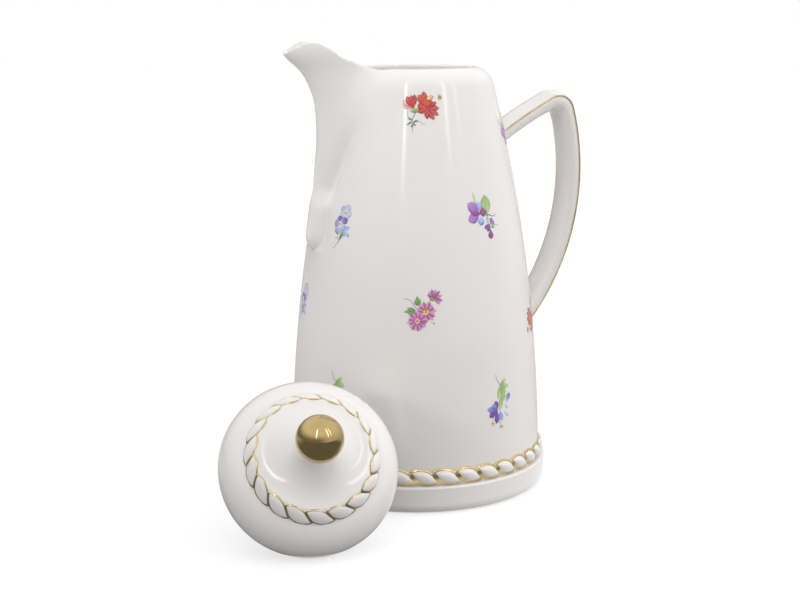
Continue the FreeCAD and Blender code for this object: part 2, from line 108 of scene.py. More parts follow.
# Handle
STRAP_WIDTH = 19.0
STRAP_CROWN = 2.6
STRAP_SIDE = 2.2
STRAP_THICKNESS = 7.4
STRAP_ROOT = (39.5, 180.4)
STRAP_RISE = radians(30.9)
STRAP_BOW = 0.9
STRAP_APEX = 8.8
STRAP_APEX_FILL = 0.28
STRAP_APEX_SPREAD = 9.0
STRAP_REACH = (93.95, 162.6)
STRAP_BACK = 125.0
STRAP_FOOT = 78.0
STRAP_FILLET = 2.6
GOLD_LINE = 0.42
GOLD_LINE_LEAN = (0.8, 0.6)
GOLD_LINE_RINGS = 240
STRAP_SINK = 1.5
STRAP_RINGS = 170
STRAP_COLUMNS = 17
ROUTE_STEPS = 900

# Ropes: a strand by its tip, stand and sink, and the gold round it by its border, stand and sink
BASE_ROPE_HEIGHT = 8.8
BASE_STRANDS = 36
BASE_STRAND = ((6.7, 2.6), 2.4, 0.8)
BASE_GOLD = (0.9, 1.1, 0.5)
LID_STRANDS = 18
LID_STRAND = ((6.5, 2.9), 1.35, 0.6)
LID_GOLD = (0.42, 0.55, 0.4)
STRAND_PLUMP = (2.4, 0.62)
BORDER_COLUMNS = 40
GOLD_EDGE = 0.35

# Lid, in its own frame
LID_RADIUS = 42.2
BRIM_ROUND = 4.0
DOME_SIDE = (40.45, 11.56)
DOME_SHOULDER = (31.5, 18.8)
DOME_WAIST = (26.9, 24.9)
DOME_SWEEP = (17.31, 27.31)
HOLLOW_SIDE = ((37.16, 0.2), (36.25, 10.36), (27.93, 16.28))
HOLLOW_TOP = ((24.38, 21.12), (9.0, 27.14), (0.0, 27.56))
NECK_FOOT = (9.0, 32.6)
NECK_SINK = 0.2
NECK_VIA = (7.2, 33.8)
NECK_RADIUS = 6.0
FLANGE_RADIUS = 30.0
FLANGE_WALL = 4.0
FLANGE_DEPTH = 14.7
FLANGE_ROUNDS = (1.0, 0.4)
COLLAR_RADIUS = 7.0
COLLAR_HEIGHT = 1.5
BALL_RADIUS = 11.0
BALL_SEAT = 9.4
BALL_RISE = 46.5
NECK_TOP = BALL_RISE - BALL_SEAT - COLLAR_HEIGHT
LID_REST = (-89.6, -76.1)
LID_TURN = radians(11.4)

# Camera of the photograph
CAMERA_DISTANCE = 786.94
CAMERA_HEIGHT = 253.68
CAMERA_TURN = radians(24.0)
CAMERA_PITCH = 0.1972
FOCAL_PIXELS = 1500.0
IMAGE_WIDTH = 800.0
AXIS_COLUMN = 415.35
SENSOR = 36.0

# Studio, in metres, watts and degrees
FLOOR_REACH = (0.25, 1.1)
FLOOR_LIFT = (0.68, 0.75)
FOOT_CLEAR = (0.072, 0.12)
ROOM_DISTANCE = 2.3
ROOM_TOP = 34.0
STRIP_DISTANCE = 1.6
FLOOR_SHADE = 0.82
BACK_SHADE = 0.42
ROOM_SHADE = (0.76, 0.28)
SKY_STRENGTH = 0.66
TOP_POWER = 3.8
FRONT_POWER = 5.2
LEFT_POWER = 0.16
LEFT_SPREAD = 24.0
RIGHT_POWER = 4.2
BACK_POWER = 7.5


# Curves and skins


def circle_through(start, via, stop):
    """Centre and radius of the circle through three points."""
    rows = np.subtract([via, stop], start)
    squares = np.sum(np.square([via, stop]), axis=1) - np.sum(np.square(start))
    centre = np.linalg.solve(2 * rows, squares)
    return centre, hypot(start[0] - centre[0], start[1] - centre[1])


def corner_arc(centre, radius, first, last, count):
    """Points of an arc by its centre and two angles in degrees."""
    angles = np.radians(np.linspace(first, last, count))
    return [(centre[0] + radius * cos(q), centre[1] + radius * sin(q)) for q in angles]


def arc_through(start, via, stop, count):
    """Points of the arc from start to stop through a third point."""
    centre, radius = circle_through(start, via, stop)
    first, middle, last = (atan2(p[1] - centre[1], p[0] - centre[0]) for p in (start, via, stop))
    sweep = remainder(middle - first, tau) + remainder(last - middle, tau)
    return corner_arc(centre, radius, degrees(first), degrees(first + sweep), count)


def straight(start, stop, count):
    """Points along a line, both ends included."""
    return [tuple(p) for p in np.linspace(start, stop, count)]


def through(points, x):
    """A smooth curve through points sorted by their first value, read at x."""
    xs, ys = np.array(points, float).T
    slopes = np.gradient(ys, xs)
    k = np.clip(np.searchsorted(xs, x) - 1, 0, len(xs) - 2)
    step = xs[k + 1] - xs[k]
    t = np.clip((x - xs[k]) / step, 0, 1)
    start = (1 + 2 * t) * (1 - t) ** 2 * ys[k] + t * (1 - t) ** 2 * step * slopes[k]
    return start + t * t * (3 - 2 * t) * ys[k + 1] + t * t * (t - 1) * step * slopes[k + 1]


def ease(low, high, x):
    """0 at low, 1 at high, smooth between."""
    t = np.clip((x - low) / (high - low), 0, 1)
    return t * t * (3 - 2 * t)


def unit(rows):
    """Rows of vectors, each made one long."""
    return rows / np.linalg.norm(rows, axis=1, keepdims=True)


def skin(rings):
    """Vertices and faces of a skin through closed rings of points; a ring of one point is a pole."""
    vertices, faces = [], []
    start = 0
    for number, ring in enumerate(rings):
        vertices.extend(tuple(float(x) for x in p) for p in ring)
        if number:
            last = len(rings[number - 1])
            low, count = start - last, max(last, len(ring))
            for k in range(count):
                n = (k + 1) % count
                corners = (low + k % last, low + n % last, start + n % len(ring), start + k % len(ring))
                faces.append(tuple(dict.fromkeys(corners)))
        start += len(ring)
    return vertices, faces


def grid_faces(rows, columns):
    """Quads over a grid of points that are counted row by row."""
    starts = [r * columns + c for r in range(rows - 1) for c in range(columns - 1)]
    return [(k, k + 1, k + columns + 1, k + columns) for k in starts]


def in_scene(name, data):
    """A new object in the scene."""
    made = bpy.data.objects.new(name, data)
    bpy.context.scene.collection.objects.link(made)
    return made


def piece(name, shape, material, body, replaced=(), matrix=None):
    """One smooth mesh object in its place, riding on a body."""
    vertices, faces = shape
    mesh = bpy.data.meshes.new(name)
    mesh.from_pydata([Vector(v) * MM for v in vertices], [], faces)
    if matrix is not None:
        mesh.transform(matrix)
    work = bmesh.new()
    work.from_mesh(mesh)
    bmesh.ops.recalc_face_normals(work, faces=work.faces)
    work.to_mesh(mesh)
    work.free()
    mesh.shade_smooth()
    mesh.materials.append(material)
    made = in_scene(name, mesh)
    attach(made, body)
    if replaced:
        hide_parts(*replaced)
    return made


def turned(profile, columns):
    """A skin turned about Z from points of radius and height; radius 0 is a pole."""
    angles = np.linspace(0, tau, columns, endpoint=False)
    rings = []
    for radius, height in profile:
        if radius == 0:
            rings.append([(0, 0, height)])
        else:
            rings.append([(radius * cos(q), radius * sin(q), height) for q in angles])
    return skin(rings)


# Materials

NOISE_SPAN = (0.3, 0.7)
GLAZE = {"IOR": 1.52, "Coat Weight": 0.35, "Coat Roughness": 0.03}
METAL = {"Metallic": 1}


def node_material(name):
    """A new material, its node tree and its shader."""
    material = bpy.data.materials.new(name)
    material.use_nodes = True
    return material, material.node_tree, material.node_tree.nodes["Principled BSDF"]


def feed(tree, node, inputs):
    """Sets inputs of a node to values, or links them where a socket is given."""
    for name, value in inputs.items():
        if isinstance(value, bpy.types.NodeSocket):
            tree.links.new(value, node.inputs[name])
        else:
            node.inputs[name].default_value = value


def add_node(tree, kind, inputs=None, **settings):
    """A new shader node with its settings made and its inputs fed."""
    node = tree.nodes.new("ShaderNode" + kind)
    for name, value in settings.items():
        setattr(node, name, value)
    feed(tree, node, inputs or {})
    return node


def object_place(tree):
    """Places in the object's own coordinates."""
    return add_node(tree, "TexCoord").outputs["Object"]


def noise(tree, scale, detail):
    """A noise texture in the object's own coordinates."""
    inputs = {"Vector": object_place(tree), "Scale": scale, "Detail": detail}
    return add_node(tree, "TexNoise", inputs).outputs["Fac"]


def between(tree, factor, span, low, high):
    """A number that goes from low to high while another one goes through a span."""
    inputs = {"Value": factor, "From Min": span[0], "From Max": span[1], "To Min": low, "To Max": high}
    return add_node(tree, "MapRange", inputs).outputs["Result"]


def two_colours(tree, factor, first, second):
    """A colour that follows a texture between two colours."""
    ramp = add_node(tree, "ValToRGB", {"Fac": factor})
    for end, position, colour in zip(ramp.color_ramp.elements, NOISE_SPAN, (first, second)):
        end.position = position
        end.color = (*colour, 1)
    return ramp.outputs["Color"]


def rough_and_bumped(tree, shader, scale, low, high, depth):
    """Roughness and a fine bump that follow one noise."""
    grain = noise(tree, scale, 2)
    bump = add_node(tree, "Bump", {"Strength": 1, "Distance": depth, "Height": grain})
    rough = between(tree, grain, NOISE_SPAN, low, high)
    feed(tree, shader, {"Roughness": rough, "Normal": bump.outputs["Normal"]})


def drifting_material(name, drift, first, second, grain, values):
    """A material whose colour drifts between two colours and whose roughness and bumps follow a grain."""
    material, tree, shader = node_material(name)
    colour = two_colours(tree, noise(tree, *drift), first, second)
    feed(tree, shader, {"Base Color": colour, **values})
    rough_and_bumped(tree, shader, *grain)
    return material


def paint_material():
    """Enamel painted under a clear glaze: each stroke's own colour with brush streaks."""
    material, tree, shader = node_material("flower_enamel")
    own = add_node(tree, "VertexColor", layer_name="paint")
    streak = between(tree, noise(tree, 1400, 3), NOISE_SPAN, 0, 0.14)
    inputs = {"Factor": streak, "A": own.outputs["Color"], "B": (0.80, 0.79, 0.78, 1)}
    mix = add_node(tree, "Mix", inputs, data_type="RGBA")
    feed(tree, shader, {"Base Color": mix.outputs["Result"], **GLAZE})
    rough_and_bumped(tree, shader, 500, 0.08, 0.16, 0.00001)
    return material


# White under a clear glaze, with slow drifts; the matt, sandy ring that the pot stands on; brushed gold for
# ropes and lines; smoother and deeper gold for the ball
PORCELAIN = drifting_material("glazed_porcelain", (14, 3), (0.81, 0.785, 0.765), (0.85, 0.825, 0.81),
                              (70, 0.05, 0.10, 0.00004), GLAZE)
BISQUE = drifting_material("bare_porcelain", (900, 4), (0.74, 0.72, 0.67), (0.83, 0.81, 0.77),
                           (1500, 0.65, 0.85, 0.00005), {})
GILDING = drifting_material("burnished_gold", (160, 4), (0.58, 0.43, 0.19), (0.80, 0.64, 0.35),
                            (420, 0.07, 0.16, 0.00003), METAL)
BALL_GOLD = drifting_material("polished_gold", (160, 4), (0.52, 0.395, 0.175), (0.58, 0.44, 0.20),
                              (420, 0.03, 0.07, 0.000004), METAL)
ENAMEL = paint_material()


# Pot shell with its spout

BELLY_CENTRE, BELLY_ARC = circle_through(BASE, BELLY, SHOULDER)


def wall_radius(height):
    """Outside radius of the wall's long arc."""
    return BELLY_CENTRE[0] + np.sqrt(BELLY_ARC ** 2 - (height - BELLY_CENTRE[1]) ** 2)


def nose_round(height):
    """0 under the nose, 1 above it, with a blunt round end."""
    below = np.clip((NOSE - height) / NOSE_LENGTH, 0, 1)
    return np.sqrt(1 - below ** 2)


def keel_stand(height):
    """How far the spout's front edge stands out from the wall."""
    middle = 0.5 * (NOSE + WAIST[1])
    low = [(NOSE, wall_radius(NOSE) + NOSE_STAND), (middle, wall_radius(middle) + MIDDLE_STAND)]
    level = np.maximum(height, NOSE)
    reach = through(low + [(up, out) for out, up in KEEL], level)
    return (reach - wall_radius(level)) * nose_round(height)


def beak_half_width(height):
    """Half of the width of the spout's root, which rounds off under the nose."""
    wide = through(ROOT, np.maximum(height, NOSE))
    return wide * (NOSE_END + (1 - NOSE_END) * nose_round(height))


def beak_bump(share, height):
    """Share of the keel's stand across the beak: full and round at the nose, pointed at the lip."""
    rise = np.clip((height - NOSE) / (RIM - NOSE), 0, BEAK_RISE_LIMIT)
    rise = rise - BEAK_RISE_EASE[1] * np.clip(rise - BEAK_RISE_EASE[0], 0, None) ** 2
    roundness = BEAK_ROUNDNESS[0] - BEAK_ROUNDNESS[1] * rise
    power = BEAK_POWER[0] + BEAK_POWER[1] * rise ** 2
    along = (np.hypot(share, roundness) - roundness) / (np.hypot(1, roundness) - roundness)
    return np.clip(1 - along, 0, 1) ** power


def from_spout(bearing):
    """How far a bearing is from the spout, either way round."""
    return np.abs(np.remainder(np.asarray(bearing) + pi, tau) - pi)


def shell_radius(bearing, height, inset=0):
    """Radius of the shell at a bearing and height, with its spout, or of its inside by an inset."""
    wall = wall_radius(height)
    spread = np.arcsin(np.clip(beak_half_width(height) / wall, 0, 0.99)) - CHANNEL_NARROWING * inset / wall
    turn = from_spout(bearing)
    share = np.clip(turn / np.maximum(spread, 0.01), 0, 1)
    deep = ease(*CREASE_TOP, height) * ease(*CREASE_FOOT, height)
    deep = deep + NOSE_CREASE * ease(*NOSE_CREASE_TOP, height) * nose_round(height)
    crease = CREASE * deep * np.exp(-((turn - spread) * wall / CREASE_WIDTH) ** 2) * (inset == 0)
    return wall - inset - crease + keel_stand(height) * beak_bump(share, height)


def wall_inset(height):
    """Thickness of the wall, which thins towards the lip."""
    return WALL - LIP_THINNING * ease(LIP_THINNING_START, TIP[1], height)


def lip_on(bearing, inset):
    """Radius and height where the lip's curve meets the beak at a bearing."""
    height = np.full_like(bearing, TIP[1])
    for _ in range(12):
        height = 0.5 * height + 0.5 * through(LIP, shell_radius(bearing, height, inset) * np.cos(bearing))
    return shell_radius(bearing, height, inset), height


def rim_profile():
    """Rows of the plain rim: up the wall, over the rolled shoulder, round the edge and down the mouth."""
    outside = [(float(wall_radius(z)), z) for z in np.linspace(RIM_ROWS_START, SHOULDER[1], 9)[:-1]]
    outside += arc_through(SHOULDER, SHOULDER_TOP, RIM_EDGE, 14)
    edge_low, throat_top = RIM - RIM_EDGE_ROUND, RIM - MOUTH_DEPTH
    edge = corner_arc((RIM_EDGE[0], edge_low), RIM_EDGE_ROUND, 90, 180, 9)[1:-1]
    inside = straight((MOUTH_RADIUS, edge_low), (MOUTH_RADIUS, throat_top), 8)
    throat_low = float(wall_radius(THROAT_LOW)) - WALL
    for z in np.linspace(throat_top, THROAT_LOW, 11)[1:]:
        inside.append((MOUTH_RADIUS + (throat_low - MOUTH_RADIUS) * ease(throat_top, THROAT_LOW, z), z))
    return np.array(outside), np.array(edge), np.array(inside)


def spout_profile(bearing, counts):
    """Rows of the beak at each bearing: up its outside, round the lip and down its inside."""
    outer, inner = lip_on(bearing, 0), lip_on(bearing, wall_inset(TIP[1]))
    rows = []
    for t in np.linspace(0, 1, counts[0]):
        height = RIM_ROWS_START + (outer[1] - LIP_ROUND - RIM_ROWS_START) * t
        rows.append((shell_radius(bearing, height), height))
    for t in np.linspace(0, 1, counts[1] + 2)[1:-1]:
        over = 0.5 * (1 - cos(pi * t))
        height = outer[1] + (inner[1] - outer[1]) * over - LIP_ROUND * (1 - sin(pi * t))
        rows.append((outer[0] + (inner[0] - outer[0]) * over, height))
    for t in np.linspace(0, 1, counts[2]):
        height = inner[1] - LIP_ROUND + (THROAT_LOW - inner[1] + LIP_ROUND) * t
        rows.append((shell_radius(bearing, height, wall_inset(height)), height))
    return rows


def shell_bearings():
    """Bearings of the shell's columns, close together on the spout."""
    fine = SPOUT_SPREAD * np.linspace(0, 1, SPOUT_COLUMNS) ** SPOUT_COLUMN_GATHER
    plain = np.linspace(SPOUT_SPREAD, tau - SPOUT_SPREAD, PLAIN_COLUMNS)[1:-1]
    return np.concatenate([fine, plain, -fine[:0:-1]])


def pot_shell():
    """The pot's wall, floor and spout as one closed skin."""
    bearing = shell_bearings()
    same = np.ones_like(bearing)
    rows = [(same * (FOOT_RECESS - 1), same * PLINTH_HEIGHT)]
    for z in np.concatenate([np.linspace(*part) for part in WALL_ROWS]):
        rows.append((shell_radius(bearing, z), same * z))
    plain = rim_profile()
    beak = spout_profile(bearing, [len(part) for part in plain])
    weight = ease(*SPOUT_BLEND, from_spout(bearing))
    for (radius, height), (beak_r, beak_z) in zip(np.concatenate(plain), beak):
        rows.append((radius + (beak_r - radius) * weight, height + (beak_z - height) * weight))
    floor_top = FLOOR + CAVITY_ROUND
    for z in np.linspace(THROAT_LOW, floor_top, 42)[1:]:
        rows.append((shell_radius(bearing, z, WALL), same * z))
    floor_edge = float(wall_radius(floor_top)) - WALL - CAVITY_ROUND
    for radius, z in corner_arc((floor_edge, floor_top), CAVITY_ROUND, 0, -90, 9)[1:]:
        rows.append((same * radius, same * z))
    rows.append((same * 0.5 * floor_edge, same * FLOOR))
    rings = [[(0, 0, PLINTH_HEIGHT + 0.6)]]
    for radius, height in rows:
        rings.append([(-r * cos(b), -r * sin(b), z) for b, r, z in zip(bearing, radius, height)])
    return skin(rings + [[(0, 0, FLOOR)]])


def foot_ring():
    """The foot: a flat ring underneath, a large rounded lower edge and a soft ledge."""
    low, high = PLINTH_RADIUS - PLINTH_EDGE, PLINTH_HEIGHT - PLINTH_LEDGE
    profile = straight((FOOT_RECESS, PLINTH_HEIGHT), (FOOT_RECESS, FOOT_EDGE), 5)
    profile += corner_arc((FOOT_RECESS + FOOT_EDGE, FOOT_EDGE), FOOT_EDGE, 180, 270, 6)[1:]
    profile += corner_arc((low, PLINTH_EDGE), PLINTH_EDGE, -90, 0, 16)
    profile += corner_arc((PLINTH_RADIUS - PLINTH_LEDGE, high), PLINTH_LEDGE, 0, 90, 10)
    profile += [(BASE[0] - 1, PLINTH_HEIGHT), (FOOT_RECESS, PLINTH_HEIGHT)]
    return turned(profile, 180)


def wear_ring():
    """The unglazed band under the foot, a thin flat ring."""
    (low, high), (under, top) = WEAR_RING, WEAR_HEIGHTS
    return turned([(low, under), (high, under), (high, top), (low, top), (low, under)], 180)


# Handle


def strap_route(count):
    """The strap's outer face in side view: points, normals, softened normals and extra thickness."""
    along = np.array([cos(STRAP_RISE), sin(STRAP_RISE)])
    inward = np.array([along[1], -along[0]])
    start = np.array(STRAP_ROOT)
    back_centre = np.array([STRAP_REACH[0] - STRAP_BACK, STRAP_REACH[1]])
    offset = start + inward * STRAP_APEX - back_centre
    half = offset @ along
    run = -half + sqrt(half ** 2 - offset @ offset + (STRAP_BACK - STRAP_APEX) ** 2)
    apex_centre = start + along * run + inward * STRAP_APEX
    outward = (apex_centre - back_centre) / np.linalg.norm(apex_centre - back_centre)
    first, last = pi / 2 + STRAP_RISE, atan2(outward[1], outward[0])
    foot = asin((STRAP_FOOT - back_centre[1]) / STRAP_BACK)
    apex_length = STRAP_APEX * (first - last)
    length = run + apex_length + STRAP_BACK * (last - foot)
    s = np.linspace(0, length, count)
    angles = np.interp(s, [0, run, run + apex_length, length], [first, first, last, foot])
    normals = np.stack([np.cos(angles), np.sin(angles)], axis=1)
    bow = STRAP_BOW * 4 * (s / run) * (1 - s / run)
    upper_run = start + np.outer(s, along) - np.outer(bow, inward)
    arcs = np.where((s < run + apex_length)[:, None], apex_centre + STRAP_APEX * normals,
                    back_centre + STRAP_BACK * normals)
    points = np.where((s < run)[:, None], upper_run, arcs)
    fill = STRAP_APEX_FILL * np.exp(-((s - run - 0.5 * apex_length) / STRAP_APEX_SPREAD) ** 2)
    half_window = int(3 * STRAP_APEX_SPREAD * count / length)
    weights = np.exp(-0.5 * np.linspace(-3, 3, 2 * half_window + 1) ** 2)
    soft = np.convolve(np.pad(angles, half_window, mode="edge"), weights / weights.sum(), mode="valid")
    return points, normals, np.stack([np.cos(soft), np.sin(soft)], axis=1), fill


ROUTE, ROUTE_NORMAL, ROUTE_INSIDE, ROUTE_FILL = strap_route(ROUTE_STEPS)


def strap_line(across, out, normal, rings):
    """One line along the strap, from wall to wall, with a fillet where it meets the wall."""
    faced = ROUTE_INSIDE if out < 0 else ROUTE_NORMAL
    out = out * (1 + ROUTE_FILL * (out < 0))
    line = np.stack([ROUTE[:, 0] + faced[:, 0] * out, np.full(len(ROUTE), across),
                     ROUTE[:, 1] + faced[:, 1] * out], axis=1)
    above = np.hypot(line[:, 0], line[:, 1]) - wall_radius(line[:, 2])
    clear = np.nonzero(above > -STRAP_SINK)[0]
    pick = np.linspace(clear[0], clear[-1], rings)
    index = np.arange(len(ROUTE))
    line = np.stack([np.interp(pick, index, line[:, k]) for k in range(3)], axis=1)
    facing = np.stack([np.interp(pick, index, faced[:, k]) for k in range(2)], axis=1)
    height = np.clip(np.interp(pick, index, above), 0, STRAP_FILLET)
    swell = STRAP_FILLET - np.sqrt(STRAP_FILLET ** 2 - (STRAP_FILLET - height) ** 2)
    line[:, 0] += swell * normal[1] * facing[:, 0]
    line[:, 1] += swell * normal[0]
    line[:, 2] += swell * normal[1] * facing[:, 1]
    return line


def strap_section(count):
    """Outline of the strap: a crowned outer face, short sides and a rounded inside."""
    half, deep = STRAP_WIDTH / 2, STRAP_THICKNESS - STRAP_SIDE
    turns = np.linspace(0, pi, count)
    crown = [(half * cos(q), STRAP_CROWN * sin(q) ** 2) for q in turns]
    return crown + [(-half * cos(q), -STRAP_SIDE - deep * sin(q)) for q in turns]


def section_normals(outline):
    """Outward normals of a closed outline that runs anticlockwise."""
    points = np.array(outline)
    ahead = np.roll(points, -1, axis=0) - np.roll(points, 1, axis=0)
    return unit(np.stack([ahead[:, 1], -ahead[:, 0]], axis=1))


def handle_strap():
    """The strap as a closed skin whose ends are sunk in the wall."""
    outline = strap_section(STRAP_COLUMNS)
    lines = [strap_line(x, y, n, STRAP_RINGS) for (x, y), n in zip(outline, section_normals(outline))]
    rings = [[line[k] for line in lines] for k in range(STRAP_RINGS)]
    ends = [[np.mean(rings[0], axis=0)], [np.mean(rings[-1], axis=0)]]
    return skin([ends[0]] + rings + [ends[1]])


def handle_gold(side):
    """A gold line painted along one outer edge of the strap."""
    lean = (side * GOLD_LINE_LEAN[0], GOLD_LINE_LEAN[1])
    path = strap_line(side * STRAP_WIDTH / 2, 0, lean, GOLD_LINE_RINGS)
    ahead = unit(np.gradient(path, axis=0))
    across = unit(np.cross(ahead, (0, side, 0)))
    rings = []
    for k in range(3, len(path) - 3):
        other = np.cross(ahead[k], across[k])
        rings.append([path[k] + GOLD_LINE * (cos(q) * across[k] + sin(q) * other)
                      for q in np.linspace(0, tau, 10, endpoint=False)])
    return skin([[path[2]]] + rings + [[path[-3]]])


# Ropes


def strand_outline(tip, count):
    """Outline of one strand: an S-shaped leaf from its upper left tip to its lower right one."""
    corners = np.array([(-1, 1), (-0.47, 1.72), (0.56, 1.48), (1, -1)]) * tip
    t = np.linspace(0, 1, count, endpoint=False)[:, None]
    shares = ((1 - t) ** 3, 3 * t * (1 - t) ** 2, 3 * t * t * (1 - t), t ** 3)
    upper = sum(share * corner for share, corner in zip(shares, corners))
    return np.concatenate([upper, -upper])


def strand_rings(tip, stand, sink):
    """One plump strand as rings of points: along the rope, up and out."""
    outline = strand_outline(tip, 18)
    rings = [[(0, 0, -sink)], [(x, y, -sink) for x, y in outline]]
    for share in np.cos(np.linspace(0, pi / 2, 10))[:-1]:
        lift = stand * (1 - share ** STRAND_PLUMP[0]) ** STRAND_PLUMP[1]
        rings.append([(x * share, y * share, lift) for x, y in outline])
    return rings + [[(0, 0, stand)]]


def gold_borders(tip, pitch, border):
    """Upper and lower edge of the gold round a row of strands, at even steps along one pitch."""
    outline = strand_outline(tip, 200)
    edge = outline - border * section_normals(outline)
    upper, lower = [], []
    for place in pitch * (np.arange(BORDER_COLUMNS) / BORDER_COLUMNS - 0.5):
        apart = np.abs(np.remainder(edge[:, 0] - place + 0.5 * pitch, pitch) - 0.5 * pitch)
        near = apart < 0.9 * pitch / BORDER_COLUMNS
        upper.append(edge[near, 1].max())
        lower.append(edge[near, 1].min())
    return upper, lower


def gold_band(place, strands, borders, thick, sink):
    """A closed ring of gold with scalloped edges, laid by a function of along, up and out."""
    upper, lower = (np.tile(border, strands) for border in borders)
    rows = [(t, thick * (GOLD_EDGE + (1 - GOLD_EDGE) * sin(pi * t))) for t in np.linspace(0, 1, 9)]
    rows += [(1, -sink), (0, -sink)]
    rings = []
    for t, out in rows + rows[:1]:
        levels = lower + (upper - lower) * t
        rings.append([place(k / BORDER_COLUMNS - 0.5, up, out) for k, up in enumerate(levels)])
    return skin(rings)


BASE_MIDDLE = PLINTH_HEIGHT + BASE_ROPE_HEIGHT / 2
BASE_PITCH = tau * float(wall_radius(BASE_MIDDLE)) / BASE_STRANDS


def on_foot(turns, up, out):
    """A point on the foot's rope: strands along from the front, up the wall and out from it."""
    angle = tau * turns / BASE_STRANDS
    height = max(BASE_MIDDLE + up, PLINTH_HEIGHT + 0.05)
    radius = float(wall_radius(height)) + out
    return radius * sin(angle), -radius * cos(angle), height


LID_BAND_MIDDLE = ((DOME_SHOULDER[0] + DOME_WAIST[0]) / 2, (DOME_SHOULDER[1] + DOME_WAIST[1]) / 2)
LID_BAND_SLOPE = atan2(DOME_WAIST[1] - DOME_SHOULDER[1], DOME_SHOULDER[0] - DOME_WAIST[0])
LID_PITCH = tau * LID_BAND_MIDDLE[0] / LID_STRANDS


def on_lid(turns, up, out):
    """A point on the lid's rope, in the lid's frame."""
    angle = tau * turns / LID_STRANDS
    radius = LID_BAND_MIDDLE[0] - up * cos(LID_BAND_SLOPE) + out * sin(LID_BAND_SLOPE)
    height = LID_BAND_MIDDLE[1] + up * sin(LID_BAND_SLOPE) + out * cos(LID_BAND_SLOPE)
    return radius * sin(angle), -radius * cos(angle), height


def strand_row(place, strands, pitch, rings):
    """All strands of a rope, laid by a function of along, up and out."""
    vertices, faces = [], []
    for number in range(strands):
        points, polygons = skin([[place(number + x / pitch, y, z) for x, y, z in ring] for ring in rings])
        faces.extend(tuple(i + len(vertices) for i in polygon) for polygon in polygons)
        vertices.extend(points)
    return vertices, faces


def lay_rope(names, place, strands, pitch, strand, gold, body, replaced, matrix=None):
    """A rope as two pieces: its strands and the gold round them."""
    white = strand_row(place, strands, pitch, strand_rings(*strand))
    band = gold_band(place, strands, gold_borders(strand[0], pitch, gold[0]), *gold[1:])
    piece(names[0], white, PORCELAIN, body, replaced[:1], matrix)
    piece(names[1], band, GILDING, body, replaced[1:], matrix)


# Lid and knob


def lid_matrix():
    """The lid's frame where it lies: on the round of its brim and the edge of its flange."""
    reach_back = BRIM_ROUND + FLANGE_DEPTH
    reach_out = LID_RADIUS - BRIM_ROUND - FLANGE_RADIUS
    lean = atan2(reach_out, reach_back) + asin(BRIM_ROUND / hypot(reach_out, reach_back))
    flat = Vector((-sin(LID_TURN), -cos(LID_TURN), 0))
    axis = flat * cos(lean) + Vector((0, 0, sin(lean)))
    side = Vector((cos(LID_TURN), -sin(LID_TURN), 0))
    height = (LID_RADIUS - BRIM_ROUND) * cos(lean) + BRIM_ROUND
    turn = Matrix((side, axis.cross(side), axis)).transposed().to_4x4()
    return Matrix.Translation(Vector((*LID_REST, height)) * MM) @ turn


def lid_shell():
    """The lid's dome with its thick brim, hollow inside."""
    flange_inside, brim = FLANGE_RADIUS - FLANGE_WALL, LID_RADIUS - BRIM_ROUND
    profile = straight((flange_inside, -BRIM_ROUND), (brim, -BRIM_ROUND), 5)
    profile += corner_arc((brim, 0), BRIM_ROUND, -90, 0, 14)[1:]
    profile += arc_through((LID_RADIUS, 0), DOME_SIDE, DOME_SHOULDER, 26)[1:]
    profile += straight(DOME_SHOULDER, DOME_WAIST, 6)[1:]
    profile += arc_through(DOME_WAIST, DOME_SWEEP, NECK_FOOT, 20)[1:]
    top = [(0, NECK_FOOT[1]), (NECK_RADIUS, NECK_FOOT[1]), *reversed(profile)]
    hollow = [(flange_inside, HOLLOW_SIDE[0][1]), *arc_through(*HOLLOW_SIDE, 14), *HOLLOW_TOP]
    return turned(top + hollow, 160)


def lid_flange():
    """The ring that drops into the mouth, with rounded lower edges."""
    inside, low = FLANGE_RADIUS - FLANGE_WALL, -BRIM_ROUND - FLANGE_DEPTH
    inner, outer = FLANGE_ROUNDS
    profile = [(inside, -BRIM_ROUND)]
    profile += corner_arc((inside + inner, low + inner), inner, 180, 270, 6)
    profile += corner_arc((FLANGE_RADIUS - outer, low + outer), outer, -90, 0, 5)
    profile += [(FLANGE_RADIUS, -BRIM_ROUND), (inside, -BRIM_ROUND)]
    return turned(profile, 140)


def knob_neck():
    """The white waist between dome and ball."""
    low = NECK_FOOT[1] - NECK_SINK
    waist = arc_through(NECK_FOOT, NECK_VIA, (NECK_RADIUS, NECK_TOP), 12)
    return turned([(0, low), (NECK_FOOT[0], low), *waist, (0, NECK_TOP)], 72)


def knob_collar():
    """The thin gold ring under the ball."""
    half = COLLAR_HEIGHT / 2
    bead = corner_arc((COLLAR_RADIUS - half, NECK_TOP + half), half, -90, 90, 12)
    return turned([(0, NECK_TOP), *bead, (0, NECK_TOP + COLLAR_HEIGHT)], 72)


def knob_ball():
    """The gold ball, flat where it is seated."""
    seat = degrees(asin(-BALL_SEAT / BALL_RADIUS))
    profile = [(0, BALL_RISE - BALL_SEAT)] + corner_arc((0, BALL_RISE), BALL_RADIUS, seat, 90, 56)[:-1]
    return turned(profile + [(0, BALL_RISE + BALL_RADIUS)], 112)


